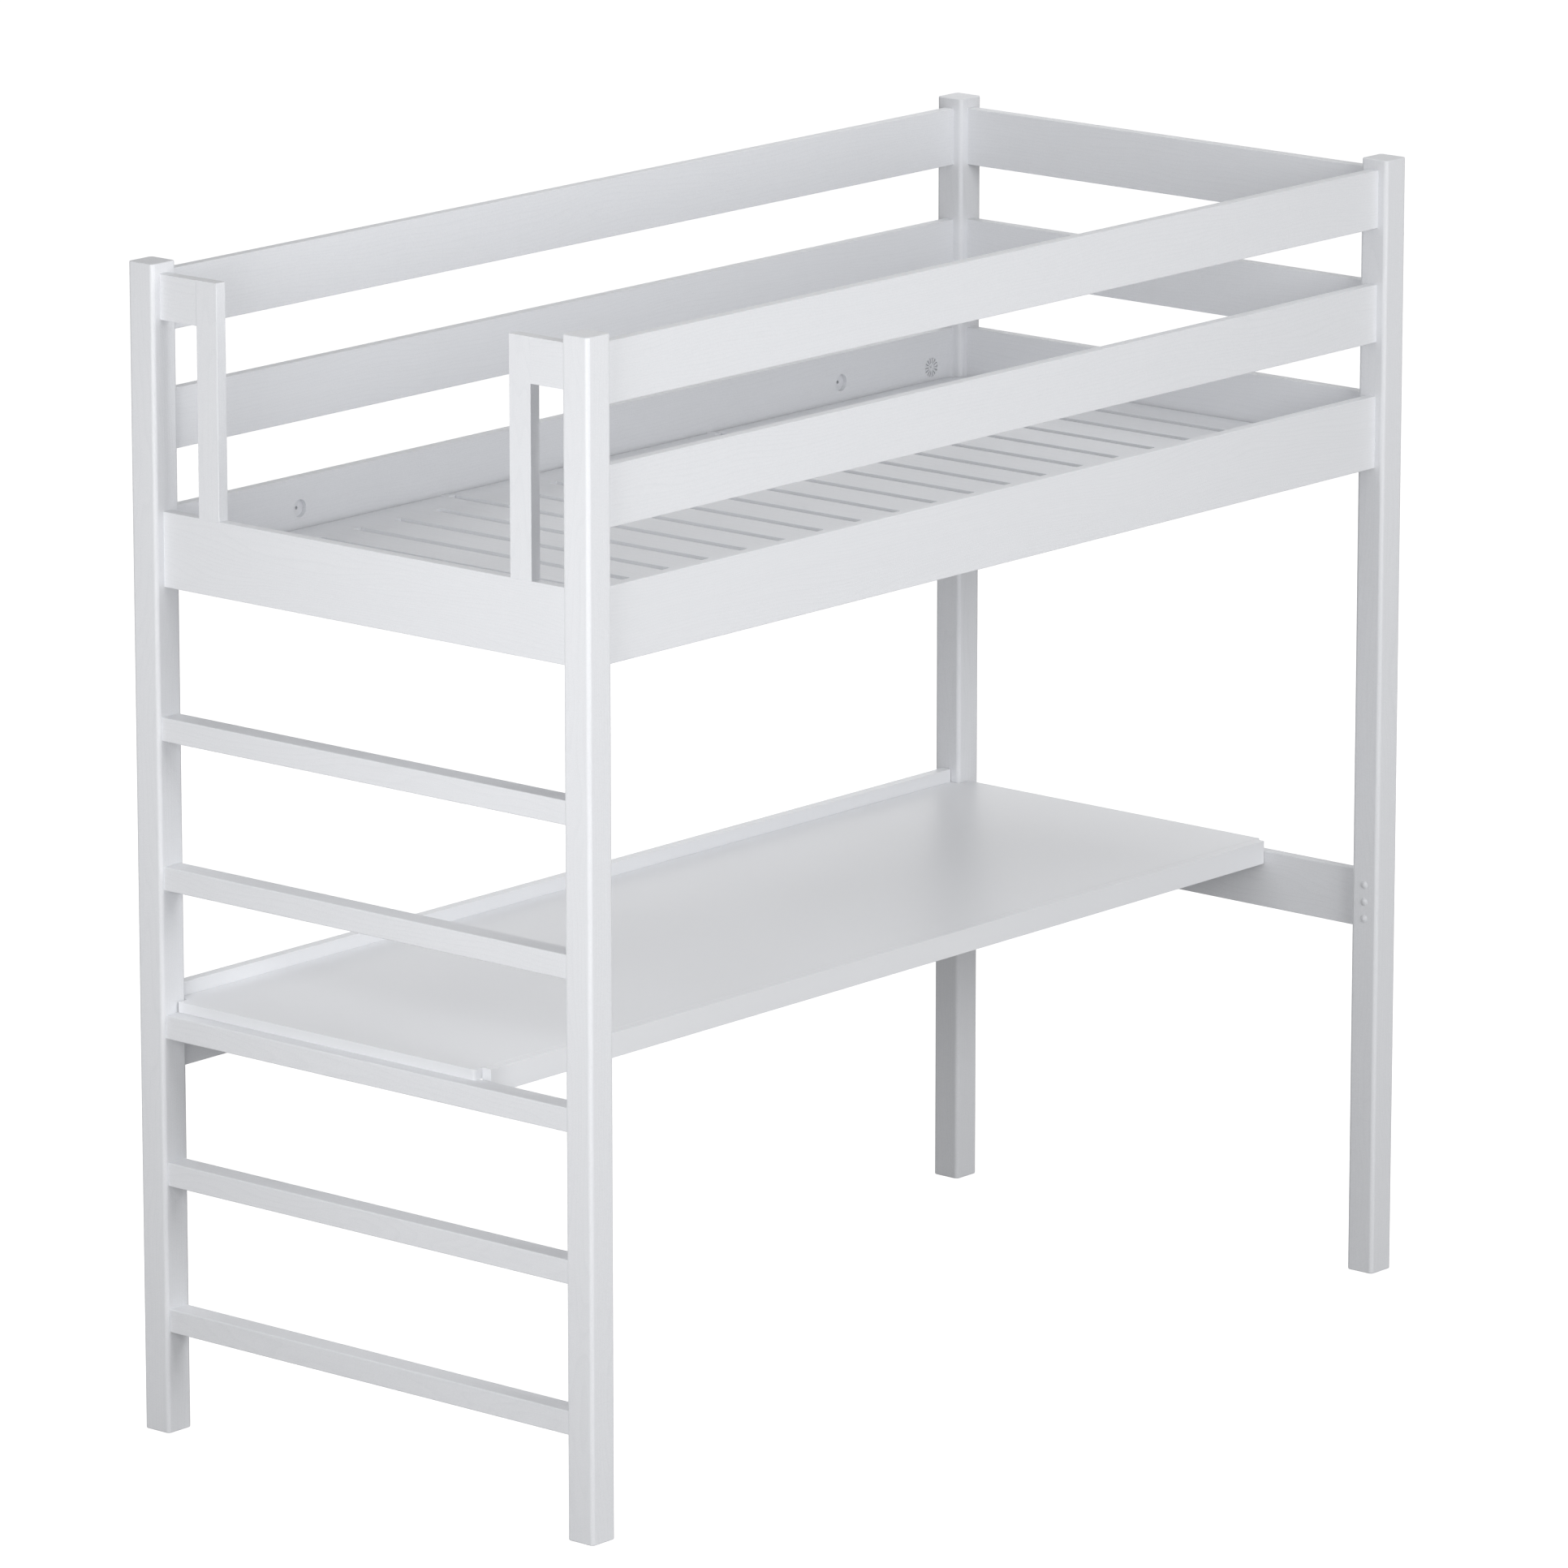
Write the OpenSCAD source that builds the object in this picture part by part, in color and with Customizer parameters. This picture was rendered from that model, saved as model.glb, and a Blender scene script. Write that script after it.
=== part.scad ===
// Loft bed with a full-length desk top, in white-glazed solid pine.
// The ladder end is at -X, the head end at +X, the front at -Y and the back at +Y.
// The origin is on the floor under the middle of the bed. Millimetres.

/* [Overall size] */
// Length over the posts
bed_length = 2090; // [2060:1:2120]
// Width over the posts
bed_width = 990; // [985:1:1010]
// Height of the posts
bed_height = 1960; // [1955:1:2000]

/* [Posts and boards] */
// Side of the square posts
post = 55; // [50:1:60]
// Radius of the posts' long edges
post_r = 7; // [4:0.5:8]
// Radius of the posts' edges at the top and at the foot
post_end_r = 2; // [1:0.5:3]
// Thickness of the rails and boards
board = 19; // [18:0.5:21]
// Radius of the long edges of the rails and boards
board_r = 1.5; // [0.5:0.25:3]
// Height of the guard boards and of the desk-level boards
guard_h = 100; // [90:1:105]
// Height of the boards at bed level
bed_h = 125; // [120:1:140]
// How far the top guard boards stay below the post tops
top_drop = 17.5; // [10:0.5:40]
// Height of the middle guard boards' centre line
middle_z = 1695.5; // [1680:0.5:1710]
// Height of the bed boards' lower edge
bed_z = 1427; // [1400:1:1430]
// Height of the desk boards' upper edge, where the desk rests
desk_z = 712.5; // [700:0.5:740]

/* [Ladder] */
// Side of the square rungs
rung = 40; // [35:1:45]
// Radius of the rungs' long edges
rung_r = 2; // [0.5:0.5:4]
// Height of the lowest rung's underside
rung_z = 172.5; // [160:0.5:180]
// Distance from one rung to the next
rung_step = 250; // [240:1:250]
// Number of rungs
rung_count = 5; // [5:1:5]
// Thickness of the handles
handle_t = 21; // [19:1:22]
// Radius of the long edges of the handles, ledges and other small pieces
small_r = 0.8; // [0.4:0.2:1.4]
// Height of the handles' top boards
handle_h = 75; // [60:1:85]
// Width of the grab uprights
handle_w = 45; // [35:1:55]
// Gap for the hand between post and upright
grip_gap = 80; // [60:1:100]

/* [Bed base] */
// Side of the ledges that carry the panels
ledge = 20; // [18:1:22]
// How far the back ledge stays short of each rail end
back_ledge_inset = 116; // [100:1:130]
// Gap between an end ledge and the posts
end_ledge_gap = 5; // [4:1:20]
// Length of one slatted panel along the bed
panel_l = 657; // [650:1:658]
// Width of the slatted panels across the bed
panel_w = 905; // [895:1:910]
// Thickness of the slatted panels
panel_t = 20; // [16:1:22]
// Gap between two panels
panel_gap = 19; // [18:1:20]
// Number of slots in a panel
slot_count = 6; // [4:1:7]
// Width of a slot
slot_w = 19; // [14:1:24]
// Solid wood left at each end of a slot
slot_end = 67; // [50:1:90]
// Leg of the cut corners that clear the posts
corner_cut = 39; // [36:1:45]
// Length of a spacer block along the bed
block_l = 17; // [12:1:17]
// Depth of a spacer block across the bed
block_w = 18; // [14:1:19]

/* [Desk] */
// Thickness of the desk plate
desk_t = 18; // [16:1:22]
// Depth of the desk over both strips
desk_depth = 712; // [600:1:740]
// Height of the strips along the desk's edges
strip_h = 41; // [36:1:46]
// How far the plate runs past the ladder posts' inner faces
desk_left = 21; // [16:1:28]
// How far the plate runs past the far posts' inner faces
desk_right = 28; // [24:1:32]
// Depth of the notches that clear the back posts
desk_notch = 20; // [19:1:24]

/* [Fittings] */
// Diameter of the beech dowels
dowel_d = 8; // [6:1:8]
// Length of the beech dowels
dowel_l = 30; // [24:1:36]
// Play around dowels, bolts and locks in their holes
play = 0.15; // [0.1:0.05:0.2]
// How far a bolt stands out of its post
bolt_reach = 45; // [40:1:46]
// Diameter of a bolt's shank
bolt_d = 8; // [7:0.5:8]
// Diameter of a bolt's flange
flange_d = 12; // [11:0.5:13]
// Diameter of a bolt's ball head
bolt_head_d = 6.6; // [6:0.1:7]
// Diameter of a bolt's thread
thread_d = 6.4; // [6:0.1:7]
// Length of a bolt's thread in the post
thread_l = 25; // [20:1:30]
// Diameter of a small cam lock
cam_d = 15; // [12:1:18]
// Depth of a small cam lock
cam_h = 13; // [12.5:0.5:14]
// Diameter of a large disc lock
disc_d = 35; // [30:1:35]
// Depth of a large disc lock
disc_h = 14; // [13:0.5:15]
// Distance of a disc lock's centre from the rail end
disc_x = 58; // [56:1:60]
// Number of radial slots in a disc lock
disc_slots = 14; // [8:1:16]
// Distance of the wall fixing holes from the rail ends
wall_x = 303; // [250:1:350]
// Height of the wall fixing holes above the rail's centre line
wall_z = 10; // [0:1:15]
// Diameter of the wall fixing holes
wall_d = 6; // [5:0.5:8]
// Diameter of the wall fixing holes' counterbore
wall_sink_d = 30; // [24:1:34]
// Depth of the wall fixing holes' counterbore
wall_sink = 8; // [5:1:10]
// Diameter of the caps over the spare holes
cap_d = 14; // [12:0.5:16]
// Diameter of the ledge screws
screw_d = 4; // [3.5:0.5:5]
// Length of the ledge screws
screw_l = 34; // [28:1:36]
// Distance between the screws of a long ledge
screw_step = 418; // [400:1:430]

/* [Hidden] */
$fn = 48;
// Overlap of a cut past the face it opens, and the least overlap
past = 1;
tiny = 0.01;
rail_l = bed_length - 2 * post;
end_l = bed_width - 2 * post;
post_x = (bed_length - post) / 2;
post_y = (bed_width - post) / 2;
inner_x = rail_l / 2;
inner_y = end_l / 2;
face_y = post_y - board / 2;
face_x = post_x - board / 2;
top_z = bed_height - top_drop;
top_mid = top_z - guard_h / 2;
bed_mid = bed_z + bed_h / 2;
bed_top = bed_z + bed_h;
desk_mid = desk_z - guard_h / 2;
panel_z = bed_z + ledge;
panel_step = panel_l + panel_gap;
panel_slot_l = panel_w - 2 * slot_end;
// The outer slats are a little narrower than the ones between two slots
slot_spread = 0.5;
slot_pitch = (panel_l + slot_w) / (slot_count + 1) + slot_spread;
handle_z = top_z - handle_h;
upright_y = inner_y - grip_gap - handle_w / 2;
desk_back_y = post_y + board / 2;
plate_back_y = desk_back_y - board;
strip_front_y = desk_back_y - desk_depth;
plate_front_y = strip_front_y + board;
plate_x0 = -inner_x - desk_left;
plate_x1 = inner_x + desk_right;
strip_gap = 1;
strip_x0 = plate_x0 + board;
strip_x1 = face_x - strip_gap;
desk_corner = 6;
desk_dowel_step = 240;
desk_dowel_l = 24;
desk_dowel_places = [-4 : 4];
block_gap = 1;
block_y = face_y - block_gap - block_w / 2;
// Small pilot holes near a panel's back edge, and how far in from its sides
pilot_d = 2.5;
pilot_depth = 12;
pilot_x = panel_l / 2 - 60;
pilot_y = panel_w / 2 - 8;
dowel_hole_d = dowel_d + 2 * play;
dowel_tip = 1;
// Dowels sit this far above and below the centre of a board
guard_dowel_z = 30;
bed_dowel_z = 40;
rung_dowel_z = 10;
handle_dowel_z = 20;
upright_dowel_y = 12;

// Directions of dowels and of their holes
along_x = [0, 90, 0];
along_y = [90, 0, 0];
along_z = [0, 0, 0];

// A bolt: flange, shank and neck, and where its ball head sits inside the rail
flange_t = 2;
shank_l = 26;
neck_d = 4.4;
ball_x = inner_x - bolt_reach + bolt_head_d / 2;
head_way_d = bolt_head_d + 0.6;

// The cross slot in the face of a small lock
cam_cross_l = 8;
cam_cross_w = 1.4;
cam_cross_depth = 1.5;

// A disc lock: its place, its countersunk key hole, and its radial slots, which widen towards the rim
disc_at = inner_x - disc_x;
key_d = 3;
key_depth = 5;
key_sink_d = 7.5;
key_sink = 1.2;
ray_start = 7;
ray_end = disc_d / 2 - 1;
ray_w_start = 1.2;
ray_w_end = 2.8;
ray_depth = 3;

// A cap over a spare hole: its stem, its rim and the dome inside the rim
cap_stem = 10;
cap_rim = 0.6;
cap_dome = 2;
dome_r = cap_d / 2 - 0.5;
dome_ball = (dome_r * dome_r + cap_dome * cap_dome) / (2 * cap_dome);

// Ledge screws: height, places, countersunk head, tip and cross slot
screw_z = bed_z + ledge / 2;
long_screws = [-2 : 2];
end_screw_y = inner_y - 57;
end_screws = [-end_screw_y, 0, end_screw_y];
screw_head_d = 2 * screw_d;
screw_head_h = screw_d / 2;
screw_tip_l = 3;
screw_tip_d = 0.6;
cross_l = 4.4;
cross_w = 1;
cross_depth = 1.4;

// Each long rail: side of the bed, centre height, board height, dowel offset
back_rails = [
  [1, top_mid, guard_h, guard_dowel_z],
  [1, middle_z, guard_h, guard_dowel_z],
  [1, bed_mid, bed_h, bed_dowel_z],
  [1, desk_mid, guard_h, guard_dowel_z]
];
front_rails = [
  [-1, top_mid, guard_h, guard_dowel_z],
  [-1, middle_z, guard_h, guard_dowel_z],
  [-1, bed_mid, bed_h, bed_dowel_z]
];
rails = concat(back_rails, front_rails);
spare_rail = [-1, desk_mid, guard_h, guard_dowel_z];
far_boards = [
  [top_mid, guard_dowel_z],
  [middle_z, guard_dowel_z],
  [bed_mid, bed_dowel_z],
  [desk_mid, guard_dowel_z]
];

white = "#E3E5E9";
desk_white = "#E8E9EC";
beech = "#E3C99A";
black_steel = "#1E1F22";
zinc = "#9A9DA1";
lock_grey = "#C9CBCE";

// ---- Shared shapes ----

// A box from one corner to the other
module block(low, high) {
  translate(low) cube(high - low);
}

// A rectangle with round corners
module round_rect(size, r) {
  straight = size - 2 * [r, r];
  square([straight[0], size[1]], center = true);
  square([size[0], straight[1]], center = true);
  for (x = [-1, 1], y = [-1, 1]) translate([x * straight[0], y * straight[1]] / 2) circle(r);
}

// A box with square-cut ends and round edges along an axis: 0, 1 or 2 for X, Y or Z
module eased_block(low, high, axis, r) {
  size = high - low;
  turns = [[90, 0, 90], [90, 0, 0], [0, 0, 0]];
  profiles = [[size[1], size[2]], [size[0], size[2]], [size[0], size[1]]];
  translate((low + high) / 2) rotate(turns[axis])
    linear_extrude(size[axis], center = true) round_rect(profiles[axis], r);
}

// A cylinder along X that starts at x and runs for l, towards +X when dir is 1
module rod_x(x, y, z, d, l, dir) {
  translate([x, y, z]) rotate([0, dir * 90, 0]) cylinder(d = d, h = l);
}

// A cylinder along Y that starts at y and runs for l, towards +Y when dir is 1
module rod_y(x, y, z, d, l, dir) {
  translate([x, y, z]) rotate([-dir * 90, 0, 0]) cylinder(d = d, h = l);
}

// A dowel along X, Y or Z with its middle at the joint face
module dowel(at, turn, l = dowel_l) {
  translate(at) rotate(turn) translate([0, 0, -l / 2]) {
    tip_d = dowel_d - 2 * dowel_tip;
    translate([0, 0, dowel_tip]) cylinder(d = dowel_d, h = l - 2 * dowel_tip);
    cylinder(d1 = tip_d, d2 = dowel_d, h = dowel_tip);
    translate([0, 0, l - dowel_tip]) cylinder(d1 = dowel_d, d2 = tip_d, h = dowel_tip);
  }
}

// The hole that a dowel sits in, on both sides of its joint
module dowel_hole(at, turn, l = dowel_l) {
  translate(at) rotate(turn) cylinder(d = dowel_hole_d, h = l + 2 * play, center = true);
}

// ---- Joints between the long rails and the posts ----

// Bolt and dowel holes of one rail in the post at the given end
module rail_joint_in_post(rail, end) {
  y = rail[0] * post_y;
  rod_x(end * (inner_x - past), y, rail[1], thread_d + 2 * play, thread_l + past + play, end);
  for (s = [-1, 1]) dowel_hole([end * inner_x, y, rail[1] + s * rail[3]], along_x);
}

// Bolt and dowel holes of one rail in its own end
module rail_joint_in_rail(rail, end, lock_x) {
  y = rail[0] * post_y;
  rod_x(end * (inner_x + past), y, rail[1], bolt_d + 2 * play, lock_x + past, -end);
  rod_x(end * (inner_x + past), y, rail[1], flange_d + 2 * play, past + flange_t + play, -end);
  for (s = [-1, 1]) dowel_hole([end * inner_x, y, rail[1] + s * rail[3]], along_x);
}

// One quick-fit bolt: thread in the post, flange, shank, neck and ball head in the rail
module cam_bolt(rail, end) {
  y = rail[0] * post_y;
  z = rail[1];
  shank_x = inner_x - flange_t;
  neck_x = shank_x - shank_l;
  rod_x(end * (inner_x + thread_l), y, z, thread_d, thread_l, -end);
  rod_x(end * inner_x, y, z, flange_d, flange_t, -end);
  rod_x(end * shank_x, y, z, bolt_d, shank_l, -end);
  rod_x(end * neck_x, y, z, neck_d, neck_x - ball_x, -end);
  translate([end * ball_x, y, z]) sphere(d = bolt_head_d);
}

// ---- Posts ----

// A post on the origin before drilling, with all its edges rounded: two flat slabs and four round corners
module post_blank() {
  half = post / 2;
  straight = half - post_r;
  eased_block([-straight, -half, 0], [straight, half, bed_height], 0, post_end_r);
  eased_block([-half, -straight, 0], [half, straight, bed_height], 1, post_end_r);
  for (x = [-1, 1], y = [-1, 1]) translate([x * straight, y * straight, bed_height / 2])
    rotate_extrude() intersection() {
      round_rect([2 * post_r, bed_height], post_end_r);
      translate([0, -bed_height / 2]) square([post_r, bed_height]);
    }
}

// One post with the holes for the given long rails at its end of the bed
module post_body(end, side, joints) {
  color(white) difference() {
    translate([end * post_x, side * post_y, 0]) post_blank();
    for (rail = joints) rail_joint_in_post(rail, end);
    if (end > 0) far_joints_holes(side);
    if (end < 0) ladder_joints_holes(side);
  }
}

module post_ladder_front() {
  post_body(-1, -1, concat(front_rails, [spare_rail]));
}

module post_ladder_back() {
  post_body(-1, 1, back_rails);
}

module post_far_front() {
  post_body(1, -1, concat(front_rails, [spare_rail]));
}

module post_far_back() {
  post_body(1, 1, back_rails);
}

// ---- Ladder end ----

// Positions of the dowels between the ladder end's cross pieces and one post
function ladder_dowel_spots(side) = concat(
  [for (s = [-1, 1]) [-post_x, side * inner_y, bed_mid + s * bed_dowel_z]],
  [for (i = [0 : rung_count - 1], s = [-1, 1])
    [-post_x, side * inner_y, rung_z + i * rung_step + rung / 2 + s * rung_dowel_z]],
  [for (s = [-1, 1]) [-post_x, side * inner_y, handle_z + handle_h / 2 + s * handle_dowel_z]]
);

// Dowels between a handle's top board and its upright
function handle_dowel_spots(side) = [
  for (s = [-1, 1])
    [-post_x, side * (inner_y - grip_gap), handle_z + handle_h / 2 + s * handle_dowel_z]
];

// Dowels between a grab upright and the bed board
function upright_dowel_spots(side) = [
  for (s = [-1, 1]) [-post_x, side * upright_y + s * upright_dowel_y, bed_top]
];

module ladder_joints_holes(side) {
  for (at = ladder_dowel_spots(side)) dowel_hole(at, along_y);
}

module ladder_bed_board() {
  color(white) difference() {
    low = [-post_x - board / 2, -inner_y, bed_z];
    high = [-post_x + board / 2, inner_y, bed_top];
    eased_block(low, high, 1, board_r);
    for (side = [-1, 1]) {
      ladder_joints_holes(side);
      for (at = upright_dowel_spots(side)) dowel_hole(at, along_z);
    }
    for (y = end_screws) end_screw_hole(-1, y);
  }
}

module rung_body(i) {
  z = rung_z + i * rung_step;
  color(white) difference() {
    low = [-post_x - rung / 2, -inner_y, z];
    high = [-post_x + rung / 2, inner_y, z + rung];
    eased_block(low, high, 1, rung_r);
    for (side = [-1, 1]) ladder_joints_holes(side);
  }
}

module handle_top(side) {
  color(white) difference() {
    low = [-post_x - handle_t / 2, side > 0 ? inner_y - grip_gap : -inner_y, handle_z];
    eased_block(low, low + [handle_t, grip_gap, handle_h], 1, small_r);
    ladder_joints_holes(side);
    for (at = handle_dowel_spots(side)) dowel_hole(at, along_y);
  }
}

module handle_upright(side) {
  color(white) difference() {
    low = [-post_x - handle_t / 2, side * upright_y - handle_w / 2, bed_top];
    eased_block(low, low + [handle_t, handle_w, top_z - bed_top], 2, small_r);
    for (at = handle_dowel_spots(side)) dowel_hole(at, along_y);
    for (at = upright_dowel_spots(side)) dowel_hole(at, along_z);
  }
}

module ladder_dowels() {
  color(beech) for (side = [-1, 1]) {
    for (at = ladder_dowel_spots(side)) dowel(at, along_y);
    for (at = handle_dowel_spots(side)) dowel(at, along_y);
    for (at = upright_dowel_spots(side)) dowel(at, along_z);
  }
}

// ---- Far end ----

function far_dowel_spots(side) = [
  for (b = far_boards, s = [-1, 1]) [post_x, side * inner_y, b[0] + s * b[1]]
];

module far_joints_holes(side) {
  for (at = far_dowel_spots(side)) dowel_hole(at, along_y);
}

module far_board(mid, h) {
  color(white) difference() {
    low = [post_x - board / 2, -inner_y, mid - h / 2];
    high = [post_x + board / 2, inner_y, mid + h / 2];
    eased_block(low, high, 1, board_r);
    for (side = [-1, 1]) far_joints_holes(side);
    if (mid == bed_mid) for (y = end_screws) end_screw_hole(1, y);
  }
}

module far_dowels() {
  color(beech) for (side = [-1, 1]) {
    for (at = far_dowel_spots(side)) dowel(at, along_y);
  }
}

// ---- Long rails ----

// The +Y face of a rail, where the small locks sit: inside on the front rails, outside on the back
function lock_face(rail) = rail[0] * post_y + board / 2;

// Seat of a small cam lock
module cam_seat(rail, end) {
  rod_y(end * ball_x, lock_face(rail) + past, rail[1], cam_d + 2 * play, cam_h + past + play, -1);
}

module guard_rail(rail) {
  color(white) difference() {
    rail_blank(rail);
    for (end = [-1, 1]) {
      rail_joint_in_rail(rail, end, inner_x - ball_x);
      cam_seat(rail, end);
    }
  }
}

module rail_blank(rail) {
  low = [-inner_x, rail[0] * post_y - board / 2, rail[1] - rail[2] / 2];
  high = [inner_x, rail[0] * post_y + board / 2, rail[1] + rail[2] / 2];
  eased_block(low, high, 0, board_r);
}

module bed_rail(rail) {
  side = rail[0];
  difference() {
    rail_blank(rail);
    for (end = [-1, 1]) {
      rail_joint_in_rail(rail, end, inner_x - ball_x);
      rod_y(end * disc_at, side * (face_y - past), rail[1], disc_d + 2 * play,
        disc_h + past + play, side);
    }
    for (i = long_screws) long_screw_hole(side, i * screw_step);
  }
}

module back_bed_rail() {
  color(white) difference() {
    bed_rail(back_rails[2]);
    for (end = [-1, 1]) translate([end * (inner_x - wall_x), face_y - past, bed_mid + wall_z]) {
      rod_y(0, 0, 0, wall_sink_d, wall_sink + past, 1);
      rod_y(0, 0, 0, wall_d, board + 2 * past, 1);
    }
  }
}

module front_bed_rail() {
  color(white) bed_rail(front_rails[2]);
}

// ---- Ledges, blocks and screws ----

// Pilot holes of a screw through a long ledge and through an end ledge
module long_screw_hole(side, x) {
  rod_y(x, side * (face_y - past), screw_z, screw_d + 2 * play, screw_l - ledge + past + play, side);
}

module end_screw_hole(end, y) {
  rod_x(end * (face_x - past), y, screw_z, screw_d + 2 * play, screw_l - ledge + past + play, end);
}

// A countersunk screw with its head at the origin, pointing along +Z
module screw() {
  difference() {
    union() {
      cylinder(d1 = screw_head_d, d2 = screw_d, h = screw_head_h);
      translate([0, 0, screw_head_h]) cylinder(d = screw_d, h = screw_l - screw_head_h - screw_tip_l);
      translate([0, 0, screw_l - screw_tip_l]) cylinder(d1 = screw_d, d2 = screw_tip_d, h = screw_tip_l);
    }
    cube([cross_l, cross_w, 2 * cross_depth], center = true);
    cube([cross_w, cross_l, 2 * cross_depth], center = true);
  }
}

// The hole in a ledge for that screw
module screw_way() {
  shank_way = screw_d + 2 * play;
  head_way = screw_head_d + 2 * play;
  translate([0, 0, -past]) cylinder(d = shank_way, h = ledge + 2 * past);
  translate([0, 0, -play]) cylinder(d1 = head_way, d2 = shank_way, h = screw_head_h + play);
  translate([0, 0, -past]) cylinder(d = head_way, h = past - play + tiny);
}

// Places a child at a long ledge's screw, or at an end ledge's screw
module at_long_screw(side, x) {
  translate([x, side * (face_y - ledge), screw_z]) rotate([-side * 90, 0, 0]) children();
}

module at_end_screw(end, y) {
  translate([end * (face_x - ledge), y, screw_z]) rotate([0, end * 90, 0]) children();
}

module long_ledge(side, inset) {
  y = side * (face_y - ledge / 2);
  color(white) difference() {
    low = [-inner_x + inset, y - ledge / 2, bed_z];
    high = [inner_x - inset, y + ledge / 2, panel_z];
    eased_block(low, high, 0, small_r);
    for (i = long_screws) at_long_screw(side, i * screw_step) screw_way();
  }
}

module back_ledge() {
  long_ledge(1, back_ledge_inset);
}

module front_ledge() {
  long_ledge(-1, 0);
}

module end_ledge(end) {
  x = end * (face_x - ledge / 2);
  y = inner_y - end_ledge_gap;
  color(white) difference() {
    eased_block([x - ledge / 2, -y, bed_z], [x + ledge / 2, y, panel_z], 1, small_r);
    for (at = end_screws) at_end_screw(end, at) screw_way();
  }
}

module ladder_ledge() {
  end_ledge(-1);
}

module far_ledge() {
  end_ledge(1);
}

module spacer_blocks() {
  color(white) for (end = [-1, 1], side = [-1, 1]) {
    low = [end * panel_step / 2 - block_l / 2, side * block_y - block_w / 2, panel_z];
    eased_block(low, low + [block_l, block_w, panel_t], 1, small_r);
  }
}

module ledge_screws() {
  color(zinc) {
    for (side = [-1, 1], i = long_screws) at_long_screw(side, i * screw_step) screw();
    for (end = [-1, 1], y = end_screws) at_end_screw(end, y) screw();
  }
}

// ---- Bolts, dowels and locks of the long rails ----

module cam_bolts() {
  color(black_steel) for (rail = rails, end = [-1, 1]) cam_bolt(rail, end);
}

module rail_dowels() {
  color(beech) for (rail = rails, end = [-1, 1], s = [-1, 1]) {
    dowel([end * inner_x, rail[0] * post_y, rail[1] + s * rail[3]], along_x);
  }
}

// A small lock: a drum with a way in for the bolt's head and a cross slot in its face
module cam_lock(rail, end) {
  y = lock_face(rail);
  difference() {
    rod_y(end * ball_x, y, rail[1], cam_d, cam_h, -1);
    translate([end * ball_x, rail[0] * post_y, rail[1]]) sphere(d = head_way_d);
    rod_x(end * ball_x, rail[0] * post_y, rail[1], head_way_d, cam_d, end);
    translate([end * ball_x, y, rail[1]]) {
      cube([cam_cross_l, 2 * cam_cross_depth, cam_cross_w], center = true);
      cube([cam_cross_w, 2 * cam_cross_depth, cam_cross_l], center = true);
    }
  }
}

module cam_locks() {
  color(zinc) for (rail = rails, end = [-1, 1]) {
    if (rail[2] == guard_h) cam_lock(rail, end);
  }
}

// One radial slot of a disc lock, along +X
module ray() {
  outline = [
    [ray_start, -ray_w_start / 2], [ray_end, -ray_w_end / 2],
    [ray_end, ray_w_end / 2], [ray_start, ray_w_start / 2]
  ];
  translate([0, 0, -past]) linear_extrude(past + ray_depth) polygon(outline);
}

// A large flush lock: a disc with radial slots and a small hole for the key
module disc_lock(side, end) {
  translate([end * disc_at, side * face_y, bed_mid]) rotate([-side * 90, 0, 0]) difference() {
    cylinder(d = disc_d, h = disc_h);
    translate([0, 0, -past]) cylinder(d = key_d, h = past + key_depth);
    cylinder(d1 = key_sink_d, d2 = key_d, h = key_sink);
    for (i = [0 : disc_slots - 1]) rotate([0, 0, i * 360 / disc_slots]) ray();
    translate([end * (ball_x - disc_at), 0, board / 2]) {
      sphere(d = head_way_d);
      rotate([0, end * 90, 0]) cylinder(d = head_way_d, h = disc_d);
    }
  }
}

module disc_locks() {
  color(lock_grey) for (side = [-1, 1], end = [-1, 1]) disc_lock(side, end);
}

// A cap over a spare hole in a front post: a domed head on the inner face, with its stem in the hole
module hole_cap(end, z, stem_d) {
  translate([end * inner_x, -post_y, z]) rotate([0, -end * 90, 0]) {
    translate([0, 0, -cap_stem]) cylinder(d = stem_d, h = cap_stem + cap_rim);
    cylinder(d = cap_d, h = cap_rim);
    translate([0, 0, cap_rim]) intersection() {
      translate([0, 0, cap_dome - dome_ball]) sphere(dome_ball);
      cylinder(r = cap_d, h = cap_dome + past);
    }
  }
}

module hole_caps() {
  color(white) for (end = [-1, 1]) {
    hole_cap(end, spare_rail[1], thread_d);
    for (s = [-1, 1]) hole_cap(end, spare_rail[1] + s * spare_rail[3], dowel_d);
  }
}

// ---- Slatted panels ----

// One panel; cut is -1 or 1 for cut corners at that end, or 0 for none
module slat_panel(i, cut) {
  x = i * panel_step;
  color(white) difference() {
    translate([x, 0, panel_z]) linear_extrude(panel_t) panel_outline(cut);
    for (s = [0 : slot_count - 1]) {
      slot_x = x + (s - (slot_count - 1) / 2) * slot_pitch;
      translate([slot_x - slot_w / 2, -panel_slot_l / 2, panel_z - past])
        cube([slot_w, panel_slot_l, panel_t + 2 * past]);
    }
    for (s = [-1, 1]) translate([x + s * pilot_x, pilot_y, panel_z + panel_t - pilot_depth])
      cylinder(d = pilot_d, h = pilot_depth + past);
  }
}

module panel_outline(cut) {
  difference() {
    square([panel_l, panel_w], center = true);
    if (cut != 0) for (side = [-1, 1]) {
      translate([cut * panel_l / 2, side * panel_w / 2]) rotate(45)
        square(corner_cut * sqrt(2), center = true);
    }
  }
}

// ---- Desk ----

// Dowels between the plate and the two strips
function desk_dowel_spots(y) = [
  for (i = desk_dowel_places) [i * desk_dowel_step, y, desk_z + desk_t / 2]
];

module desk_dowel_holes(y) {
  for (at = desk_dowel_spots(y)) dowel_hole(at, along_y, desk_dowel_l);
}

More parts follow.
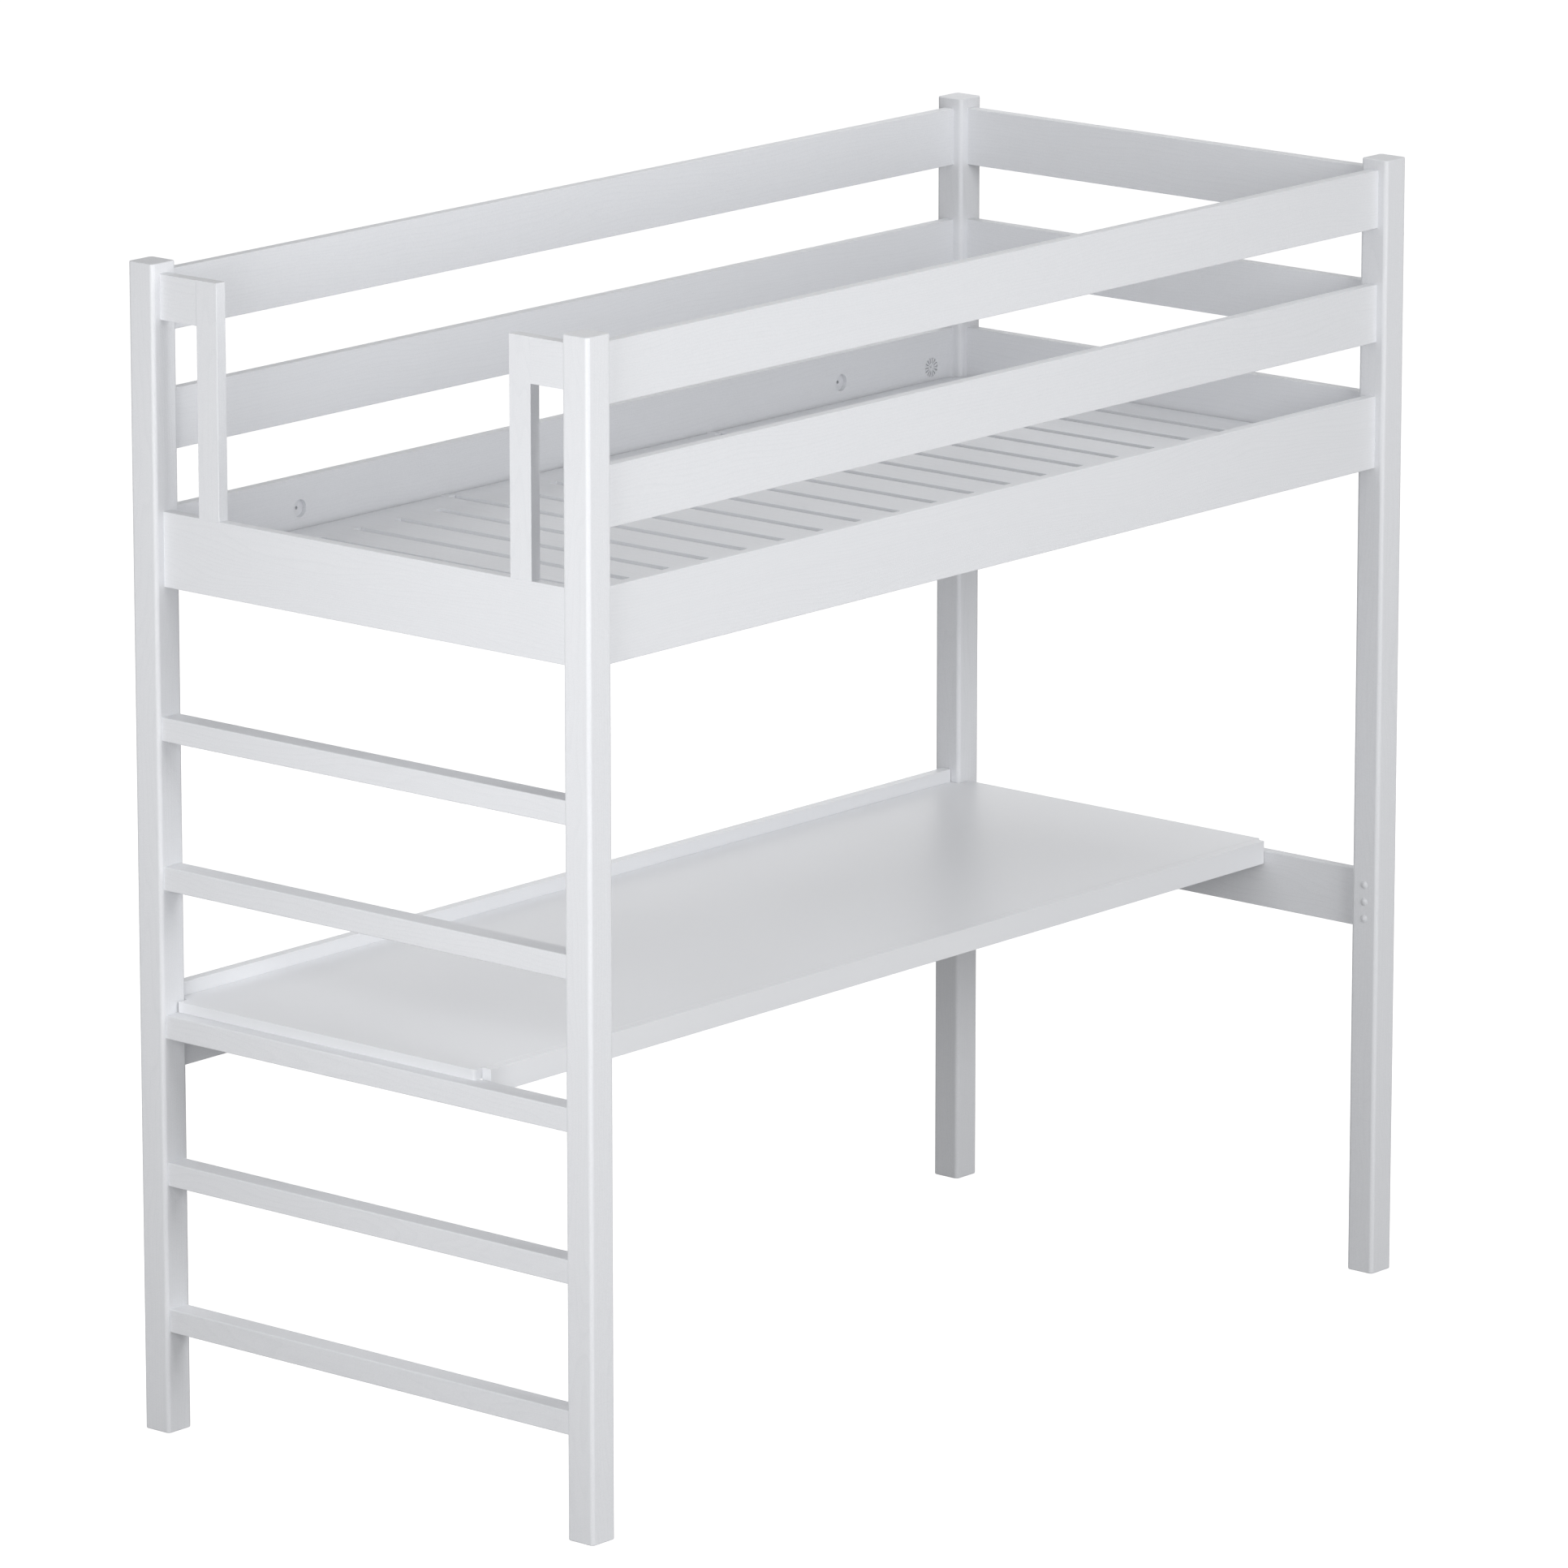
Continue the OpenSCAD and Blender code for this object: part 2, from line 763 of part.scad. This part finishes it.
module desk_plate() {
  color(desk_white) difference() {
    block([plate_x0, plate_front_y, desk_z], [plate_x1, plate_back_y, desk_z + desk_t]);
    translate([plate_x0 - past, plate_back_y - desk_notch, desk_z - past])
      cube([desk_left + strip_gap + past, desk_notch + past, desk_t + 2 * past]);
    translate([inner_x - strip_gap, plate_back_y - desk_notch, desk_z - past])
      cube([desk_right + strip_gap + past, desk_notch + past, desk_t + 2 * past]);
    translate([plate_x0, plate_front_y, desk_z - past]) corner_round();
    desk_dowel_holes(plate_back_y);
    desk_dowel_holes(plate_front_y);
  }
}

// What is cut away to round the plate's free front corner
module corner_round() {
  difference() {
    translate([-past, -past, 0]) cube([desk_corner + past, desk_corner + past, desk_t + 2 * past]);
    translate([desk_corner, desk_corner, -past]) cylinder(r = desk_corner, h = desk_t + 4 * past);
  }
}

module desk_back_strip() {
  color(desk_white) difference() {
    low = [-inner_x + strip_gap, plate_back_y, desk_z];
    high = [inner_x - strip_gap, desk_back_y, desk_z + strip_h];
    eased_block(low, high, 0, small_r);
    desk_dowel_holes(plate_back_y);
  }
}

module desk_front_strip() {
  color(desk_white) difference() {
    low = [strip_x0, strip_front_y, desk_z + desk_t - strip_h];
    high = [strip_x1, plate_front_y, desk_z + desk_t];
    eased_block(low, high, 0, small_r);
    desk_dowel_holes(plate_front_y);
  }
}

module desk_dowels() {
  color(beech) {
    for (at = desk_dowel_spots(plate_back_y)) dowel(at, along_y, desk_dowel_l);
    for (at = desk_dowel_spots(plate_front_y)) dowel(at, along_y, desk_dowel_l);
  }
}

// ---- The nodes ----

post_ladder_front();
post_ladder_back();
post_far_front();
post_far_back();
ladder_bed_board();
rung_body(0);  // rung_1
rung_body(1);  // rung_2
rung_body(2);  // rung_3
rung_body(3);  // rung_4
rung_body(4);  // rung_5
handle_top(-1);  // handle_top_front
handle_top(1);  // handle_top_back
handle_upright(-1);  // handle_upright_front
handle_upright(1);  // handle_upright_back
ladder_ledge();
ladder_dowels();
far_board(top_mid, guard_h);  // far_top_board
far_board(middle_z, guard_h);  // far_middle_board
far_board(bed_mid, bed_h);  // far_bed_board
far_board(desk_mid, guard_h);  // far_desk_board
far_ledge();
far_dowels();
guard_rail(back_rails[0]);  // back_top_rail
guard_rail(back_rails[1]);  // back_middle_rail
back_bed_rail();
guard_rail(back_rails[3]);  // back_desk_rail
back_ledge();
guard_rail(front_rails[0]);  // front_top_rail
guard_rail(front_rails[1]);  // front_middle_rail
front_bed_rail();
front_ledge();
spacer_blocks();
ledge_screws();
cam_bolts();
rail_dowels();
cam_locks();
disc_locks();
hole_caps();
slat_panel(-1, -1);  // slat_panel_1
slat_panel(0, 0);  // slat_panel_2
slat_panel(1, 1);  // slat_panel_3
desk_plate();
desk_back_strip();
desk_front_strip();
desk_dowels();
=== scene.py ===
"""Looks for the loft bed with desk: materials, softened edges, light, floor and camera.

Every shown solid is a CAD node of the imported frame. Lengths are in metres, in the frame's own axes:
the ladder end at -X, the head end at +X, the open front of the desk at -Y.
"""
import math

import bpy
import numpy as np
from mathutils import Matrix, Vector


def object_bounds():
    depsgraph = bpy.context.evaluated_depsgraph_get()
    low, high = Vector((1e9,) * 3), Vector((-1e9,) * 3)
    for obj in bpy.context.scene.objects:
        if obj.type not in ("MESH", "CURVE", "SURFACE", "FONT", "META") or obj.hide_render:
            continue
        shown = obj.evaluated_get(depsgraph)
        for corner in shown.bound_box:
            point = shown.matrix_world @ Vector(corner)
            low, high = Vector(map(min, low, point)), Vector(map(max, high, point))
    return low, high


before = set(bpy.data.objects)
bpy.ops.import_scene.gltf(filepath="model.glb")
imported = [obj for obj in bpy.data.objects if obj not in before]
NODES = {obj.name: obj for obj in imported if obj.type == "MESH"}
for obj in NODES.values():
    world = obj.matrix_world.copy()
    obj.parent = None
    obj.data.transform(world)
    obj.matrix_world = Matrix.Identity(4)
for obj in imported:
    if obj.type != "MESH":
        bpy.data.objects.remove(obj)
cad_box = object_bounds()
MM = 0.001


# ---------------------------------------------------------------- node helpers

def new_material(name):
    """A material with only an output and a Principled shader, whose tree is ready for more nodes."""
    material = bpy.data.materials.new(name)
    material.use_nodes = True
    tree = material.node_tree
    tree.nodes.clear()
    output = tree.nodes.new("ShaderNodeOutputMaterial")
    shader = tree.nodes.new("ShaderNodeBsdfPrincipled")
    tree.links.new(shader.outputs[0], output.inputs[0])
    return material, tree, shader


def fill(tree, socket, value):
    """Links a socket to another socket, or sets it to a plain value."""
    if isinstance(value, bpy.types.NodeSocket):
        tree.links.new(value, socket)
    else:
        socket.default_value = value


def add(tree, kind, inputs=None, **settings):
    """Adds a node, sets its fields, and fills its inputs."""
    node = tree.nodes.new("ShaderNode" + kind)
    for field, value in settings.items():
        setattr(node, field, value)
    for key, value in (inputs or {}).items():
        fill(tree, node.inputs[key], value)
    return node


def math_node(tree, operation, *values, clamp=False):
    inputs = dict(enumerate(values))
    return add(tree, "Math", inputs, operation=operation, use_clamp=clamp).outputs[0]


def noise(tree, vector, scale, detail=2.0, roughness=0.5, output="Fac"):
    inputs = {"Vector": vector, "Scale": scale, "Detail": detail, "Roughness": roughness}
    return add(tree, "TexNoise", inputs).outputs[output]


def grey_ramp(tree, value, stops):
    """Turns 0 to 1 into a grey level through (position, level) stops."""
    node = add(tree, "ValToRGB", {0: value})
    elements = node.color_ramp.elements
    while len(elements) < len(stops):
        elements.new(0.5)
    for element, (position, level) in zip(elements, stops):
        element.position = position
        element.color = (level, level, level, 1.0)
    return node.outputs[0]


def mix_colour(tree, share, first, second):
    """A colour that goes from the first to the second as share goes from 0 to 1."""
    node = add(tree, "Mix", data_type="RGBA")
    fill(tree, node.inputs[0], share)
    node.inputs[6].default_value = (*first, 1.0)
    node.inputs[7].default_value = (*second, 1.0)
    return node.outputs[2]


def weighted_sum(tree, weights, patterns):
    """The sum of the named patterns, each times its weight."""
    total = None
    for name, weight in weights.items():
        term = math_node(tree, "MULTIPLY", patterns[name], weight)
        total = term if total is None else math_node(tree, "ADD", total, term)
    return total


def set_roughness(tree, shader, pattern, smoothest, spread):
    """Roughness from smoothest upwards, following a pattern."""
    rough = math_node(tree, "MULTIPLY_ADD", pattern, spread, smoothest)
    tree.links.new(rough, shader.inputs["Roughness"])


def set_bump(tree, shader, height, strength, distance):
    bump = add(tree, "Bump", {"Height": height, "Strength": strength, "Distance": distance})
    tree.links.new(bump.outputs[0], shader.inputs["Normal"])


# ---------------------------------------------------------------- wood

# Turns the grain of a piece that runs along X, Y or Z onto the texture's X axis
GRAIN_TURN = {"X": (0, 0, 0), "Y": (0, 0, -math.pi / 2), "Z": (0, math.pi / 2, 0)}
# The most that the pattern is moved on one object: along the grain, and across it both ways
GRAIN_SHIFT = {"X": 7.3, "Y": 0.173, "Z": 0.091}
# Growth rings: their width, how far they wander, and how fast along and across the grain
RING = 5.5 * MM
WANDER = (0.0, 0.10, 0.10)
WANDER_RATE = (1.6, 9.0)
# The dark latewood across one ring: it builds up slowly and ends sharply
LATEWOOD = ((0.0, 0.0), (0.62, 0.25), (0.9, 1.0), (1.0, 0.0))
# How fine the other patterns are along and across the grain
FIBRE_RATE = (11.0, 420.0)
STREAK_RATE = (5.0, 120.0)
CLOUD_RATE = (1.3, 7.0)
STIPPLE_RATE = 480.0
# What each pattern adds to the tone and to the relief, and the tone below which nothing shows
TONE = {"latewood": 0.45, "fibres": 0.55, "streaks": 0.45, "cloud": 0.35}
TONE_FLOOR = 0.45
RELIEF = {"fibres": 1.0, "latewood": 0.35, "streaks": 0.6, "stipple": 1.6}
RELIEF_DEPTH = 0.4 * MM
SPECK_SHARE = 0.45
WOOD_GLOSS_SPREAD = 0.16

WHITE = (0.80, 0.81, 0.835)
WHITE_DEEP = (0.62, 0.635, 0.665)
BEECH = (0.80, 0.62, 0.38)
BEECH_DEEP = (0.60, 0.40, 0.20)


def grain_space(tree, axis):
    """Coordinates in metres with X along the grain, moved by a different amount on each object."""
    place = add(tree, "TexCoord").outputs["Object"]
    turned = add(tree, "Mapping", {"Vector": place, "Rotation": GRAIN_TURN[axis]}).outputs[0]
    chance = add(tree, "ObjectInfo").outputs["Random"]
    moves = {name: math_node(tree, "MULTIPLY", chance, most) for name, most in GRAIN_SHIFT.items()}
    shift = add(tree, "CombineXYZ", moves).outputs[0]
    return add(tree, "VectorMath", {0: turned, 1: shift}, operation="ADD").outputs[0]


def stretched(tree, space, rate):
    along, across = rate
    inputs = {0: space, 1: (along, across, across)}
    return add(tree, "VectorMath", inputs, operation="MULTIPLY").outputs[0]


def growth_rings(tree, space):
    """0 to 1 across each ring, as wandering bands that run with the grain."""
    drift = noise(tree, stretched(tree, space, WANDER_RATE), 1.0, output="Color")
    wander = add(tree, "VectorMath", {0: drift, 1: WANDER}, operation="MULTIPLY").outputs[0]
    moved = add(tree, "VectorMath", {0: space, 1: wander}, operation="ADD").outputs[0]
    parts = add(tree, "SeparateXYZ", {0: moved}).outputs
    squares = [math_node(tree, "POWER", part, 2.0) for part in (parts[1], parts[2])]
    radius = math_node(tree, "SQRT", math_node(tree, "ADD", *squares))
    return math_node(tree, "FRACT", math_node(tree, "DIVIDE", radius, RING))


def wood(name, axis, light, dark, contrast, smoothest, bump_strength):
    """Glazed or raw wood: soft growth rings, fine fibres, a stipple and a faint brushed relief."""
    material, tree, shader = new_material(name)
    space = grain_space(tree, axis)
    patterns = {
        "latewood": grey_ramp(tree, growth_rings(tree, space), LATEWOOD),
        "fibres": noise(tree, stretched(tree, space, FIBRE_RATE), 1.0, detail=3.0, roughness=0.6),
        "streaks": noise(tree, stretched(tree, space, STREAK_RATE), 1.0),
        "cloud": noise(tree, stretched(tree, space, CLOUD_RATE), 1.0),
        "stipple": noise(tree, space, STIPPLE_RATE),
    }

    # Colour: mostly the paint's own, with the grain and fine specks showing faintly through
    tone = math_node(tree, "SUBTRACT", weighted_sum(tree, TONE, patterns), TONE_FLOOR)
    grain = math_node(tree, "MULTIPLY", tone, contrast, clamp=True)
    specks = math_node(tree, "SUBTRACT", patterns["stipple"], 0.5)
    share = math_node(tree, "ADD", grain, math_node(tree, "MULTIPLY", specks, SPECK_SHARE), clamp=True)
    tree.links.new(mix_colour(tree, share, light, dark), shader.inputs["Base Color"])

    set_roughness(tree, shader, patterns["fibres"], smoothest, WOOD_GLOSS_SPREAD)
    set_bump(tree, shader, weighted_sum(tree, RELIEF, patterns), bump_strength, RELIEF_DEPTH)
    return material


pine = {axis: wood("white_pine_" + axis.lower(), axis, WHITE, WHITE_DEEP, 0.22, 0.40, 0.35) for axis in "XYZ"}
beech = wood("raw_beech", "X", BEECH, BEECH_DEEP, 0.6, 0.52, 0.4)


# ---------------------------------------------------------------- lacquer, metal and plastic

def mottled(
    name, light, dark, cloud, fine, smoothest, spread, gloss_from, bump_strength, bump_depth, metallic=0.0
):
    """An even surface with a slow change of tone and a fine relief.

    cloud and fine are the scale and detail of the two noises, and gloss_from names the one that
    the roughness follows.
    """
    material, tree, shader = new_material(name)
    place = add(tree, "TexCoord").outputs["Object"]
    patterns = {"cloud": noise(tree, place, *cloud), "fine": noise(tree, place, *fine)}
    tree.links.new(mix_colour(tree, patterns["cloud"], light, dark), shader.inputs["Base Color"])
    set_roughness(tree, shader, patterns[gloss_from], smoothest, spread)
    set_bump(tree, shader, patterns["fine"], bump_strength, bump_depth)
    shader.inputs["Metallic"].default_value = metallic
    return material


def lacquered_board():
    """The desk's smooth lacquer: almost even, with a trace of orange peel."""
    return mottled(
        "white_lacquer", (0.79, 0.80, 0.825), (0.82, 0.83, 0.85), cloud=(3.5, 3.0), fine=(260.0, 2.0),
        smoothest=0.34, spread=0.08, gloss_from="cloud", bump_strength=0.12, bump_depth=0.2 * MM,
    )


def turned(name, light, dark, smoothest, metallic):
    """Metal or plastic with fine turning marks and small changes of tone."""
    return mottled(
        name, light, dark, cloud=(120.0, 2.0), fine=(900.0, 3.0), smoothest=smoothest, spread=0.15,
        gloss_from="fine", bump_strength=0.2, bump_depth=0.1 * MM, metallic=metallic,
    )


lacquer = lacquered_board()
black_steel = turned("black_steel", (0.030, 0.031, 0.034), (0.018, 0.018, 0.020), 0.28, 0.8)
zinc = turned("zinc", (0.62, 0.63, 0.65), (0.50, 0.51, 0.53), 0.31, 1.0)
white_plastic = turned("white_plastic", (0.76, 0.77, 0.795), (0.72, 0.73, 0.755), 0.43, 0.0)


# ---------------------------------------------------------------- softened edges

# Mesh points nearer than this are one point
TOUCH = 0.01 * MM
# The radius and steps of a softened edge, and the shortest edge that is softened
EDGE_R = 1.0 * MM
EDGE_STEPS = 2
EDGE_SHORTEST = 6 * MM
# Two faces meet at a corner when the cosine between their normals is no more than this
CORNER_COSINE = 0.8
# Corners flatter than this are shaded smooth
SMOOTH_ANGLE = math.radians(32)


def outer_corners(mesh):
    """For each edge of a mesh: 1 where two faces meet at an outer corner, and 0 elsewhere."""
    points = np.zeros(len(mesh.vertices) * 3)
    mesh.vertices.foreach_get("co", points)
    points = points.reshape(-1, 3)
    keys = [tuple(row) for row in np.round(points / TOUCH).astype(int)]
    faces_at = {}
    for face in mesh.polygons:
        ring = list(face.vertices)
        for a, b in zip(ring, ring[1:] + ring[:1]):
            faces_at.setdefault(frozenset((keys[a], keys[b])), []).append(face)
    weights = np.zeros(len(mesh.edges))
    for edge in mesh.edges:
        a, b = edge.vertices
        if np.linalg.norm(points[a] - points[b]) < EDGE_SHORTEST:
            continue
        sides = faces_at.get(frozenset((keys[a], keys[b])), [])
        if len(sides) != 2:
            continue
        first, second = sides
        if first.normal.dot(second.normal) > CORNER_COSINE:
            continue
        if first.normal.dot(second.center - first.center) < 0:
            weights[edge.index] = 1.0
    return weights


def soften(piece):
    """Rounds a CAD node's outer edges by modifiers."""
    layer = piece.data.attributes.new("bevel_weight_edge", "FLOAT", "EDGE")
    layer.data.foreach_set("value", outer_corners(piece.data))
    weld = piece.modifiers.new("weld", "WELD")
    weld.merge_threshold = TOUCH
    bevel = piece.modifiers.new("bevel", "BEVEL")
    bevel.limit_method = "WEIGHT"
    bevel.width = EDGE_R
    bevel.segments = EDGE_STEPS
    bevel.use_clamp_overlap = False
    bevel.harden_normals = False


def smooth(piece):
    """Shades a piece smooth except over its corners."""
    for face in piece.data.polygons:
        face.use_smooth = True
    split = piece.modifiers.new("corners", "EDGE_SPLIT")
    split.split_angle = SMOOTH_ANGLE
    split.use_edge_sharp = False
    weighted = piece.modifiers.new("even", "WEIGHTED_NORMAL")
    weighted.keep_sharp = True
    weighted.weight = 100


# ---------------------------------------------------------------- finishes

PANELS = [n for n in NODES if n.startswith("slat_panel_")]
DESK = ["desk_plate", "desk_back_strip", "desk_front_strip"]
DOWELS = [n for n in NODES if n.endswith("_dowels")]
ALONG_X = [n for n in NODES if n.endswith("_rail")] + ["back_ledge", "front_ledge"]
ALONG_Y = [n for n in NODES if n.startswith(("rung_", "handle_top_")) or n.endswith("_board")]
ALONG_Y += PANELS + ["ladder_ledge", "far_ledge", "spacer_blocks"]
ALONG_Z = [n for n in NODES if n.startswith(("post_", "handle_upright_"))]
FINISHES = (
    (ALONG_X, pine["X"]),
    (ALONG_Y, pine["Y"]),
    (ALONG_Z, pine["Z"]),
    (DESK, lacquer),
    (DOWELS, beech),
    (["cam_bolts"], black_steel),
    (["cam_locks", "ledge_screws"], zinc),
    (["disc_locks", "hole_caps"], white_plastic),
)
for nodes, material in FINISHES:
    for node in nodes:
        NODES[node].data.materials.clear()
        NODES[node].data.materials.append(material)
# The other pieces have their round edges in CAD
for node in PANELS + ["desk_plate"]:
    soften(NODES[node])
for piece in NODES.values():
    smooth(piece)


# ---------------------------------------------------------------- floor, light and camera

FLOOR_HALF = 60.0
# The floor's brightness as seen, and how much light it gives back to the bed
FLOOR_GLOW = 0.95
FLOOR_GREY = 0.30
FLOOR_BOUNCE = 0.50
SKY = 0.37
# Each light: name, place, target, diameter and power in watts
LIGHTS = (
    ("side", (-3.3, -0.6, 1.8), (-1.0, 0, 1.2), 2.0, 42.5),
    ("front", (-0.6, -5.2, 3.0), (0.1, 0, 1.2), 2.6, 150.0),
    ("back", (4.0, 3.2, 1.7), (0.3, 0.1, 0.75), 3.2, 26.0),
    ("top", (1.3, 1.1, 4.3), (0.1, 0, 1.5), 1.8, 26.0),
)
# The camera looks at the middle of the bed from the ladder end's front corner, a little above it
AZIMUTH = math.radians(-49.4)
ELEVATION = math.radians(13.6)
DISTANCE = 17.5
SENSOR_MM = 36.0
LENS_MM = 240.0
FAR_CLIP = 200.0


def link(name, data):
    thing = bpy.data.objects.new(name, data)
    bpy.context.scene.collection.objects.link(thing)
    return thing


def aim(thing, place, direction):
    """Puts a camera or a light at a place, looking along a direction."""
    thing.location = place
    thing.rotation_mode = "QUATERNION"
    thing.rotation_quaternion = direction.to_track_quat("-Z", "Y")


def plain_floor():
    """A wide floor that looks white, but bounces only as much light as pale paper would."""
    material, tree, shader = new_material("floor")
    shader.inputs["Base Color"].default_value = (FLOOR_GREY, FLOOR_GREY, FLOOR_GREY, 1.0)
    shader.inputs["Roughness"].default_value = 1.0
    shader.inputs["Specular IOR Level"].default_value = 0.0
    shader.inputs["Emission Color"].default_value = (1.0, 1.0, 1.0, 1.0)
    shader.inputs["Emission Strength"].default_value = FLOOR_GLOW
    paper = add(tree, "BsdfDiffuse", {0: (FLOOR_BOUNCE, FLOOR_BOUNCE, FLOOR_BOUNCE, 1.0)}).outputs[0]
    seen = add(tree, "LightPath").outputs["Is Camera Ray"]
    both = add(tree, "MixShader", {0: seen, 1: paper, 2: shader.outputs[0]})
    tree.links.new(both.outputs[0], tree.nodes["Material Output"].inputs[0])
    mesh = bpy.data.meshes.new("floor")
    corners = [(x * FLOOR_HALF, y * FLOOR_HALF, 0) for x, y in ((-1, -1), (1, -1), (1, 1), (-1, 1))]
    mesh.from_pydata(corners, [], [(0, 1, 2, 3)])
    mesh.materials.append(material)
    link("floor", mesh)


def studio():
    world = bpy.data.worlds.new("studio")
    bpy.context.scene.world = world
    world.use_nodes = True
    background = world.node_tree.nodes["Background"]
    background.inputs[0].default_value = (1.0, 1.0, 1.0, 1.0)
    background.inputs[1].default_value = SKY
    for name, place, target, size, power in LIGHTS:
        data = bpy.data.lights.new(name, "AREA")
        data.shape = "DISK"
        data.size = size
        data.energy = power
        aim(link(name, data), place, Vector(target) - Vector(place))


def photo_camera():
    """The photograph's viewing angle."""
    low, high = cad_box
    back = Vector((
        math.sin(AZIMUTH) * math.cos(ELEVATION),
        -math.cos(AZIMUTH) * math.cos(ELEVATION),
        math.sin(ELEVATION),
    ))
    data = bpy.data.cameras.new("camera")
    data.sensor_width = SENSOR_MM
    data.lens = LENS_MM
    data.clip_end = FAR_CLIP
    camera = link("camera", data)
    aim(camera, (low + high) / 2 + back * DISTANCE, -back)
    bpy.context.scene.camera = camera


plain_floor()
studio()
photo_camera()
bpy.context.scene.view_settings.view_transform = "Standard"
